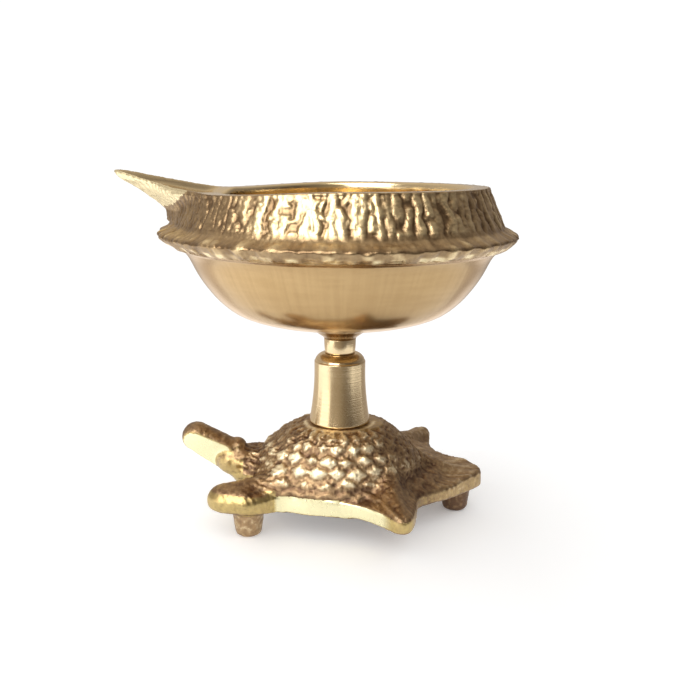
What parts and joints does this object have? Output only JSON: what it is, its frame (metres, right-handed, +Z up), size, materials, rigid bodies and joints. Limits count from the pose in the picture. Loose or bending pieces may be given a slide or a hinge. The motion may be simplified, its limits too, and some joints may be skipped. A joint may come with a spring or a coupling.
{
  "type": "oil lamp",
  "caption": "Brass oil lamp: a hammered bowl with a flared skirt and a pointed wick spout on a short turned pillar, standing on a tortoise with stub feet.",
  "frame": {"origin": "on the floor under the centre of the lamp's outer box; the pillar's axis is 5.9 mm towards +X from it", "axes": "+Z up along the pillar; the wick spout and the tortoise's head point to -X, the tail to +X"},
  "size_m": [0.0966, 0.0848, 0.0858],
  "materials": {
    "cast_brass": "cast, antiqued, with filed edges",
    "bowl_brass": "hammered wall, turned and polished inside and below",
    "turned_brass": "satin, fine turning lines",
    "plated_steel": "plated thread, nut and washer"
  },
  "bodies": {
    "root": {"tortoise_base": "cast_brass", "stem": "turned_brass", "tie_rod": "plated_steel", "washer": "plated_steel", "nut": "plated_steel"},
    "collar": {"neck_collar": "turned_brass"},
    "bowl": {"bowl": "bowl_brass"}
  },
  "joints": [
    {"name": "bowl_turn", "type": "hinge", "parent": "root", "child": "collar", "pos_m": [0.0059, 0, 0.0458], "axis": [0, 0, 1], "range_deg": [0, 1800]},
    {"name": "bowl_lift", "type": "slide", "parent": "collar", "child": "bowl", "axis": [0, 0, 1], "range_m": [0, 0.004]}
  ],
  "couplings": [
    {"joint": "bowl_lift", "follows": "bowl_turn", "m_per_rad": 0.00012732}
  ]
}
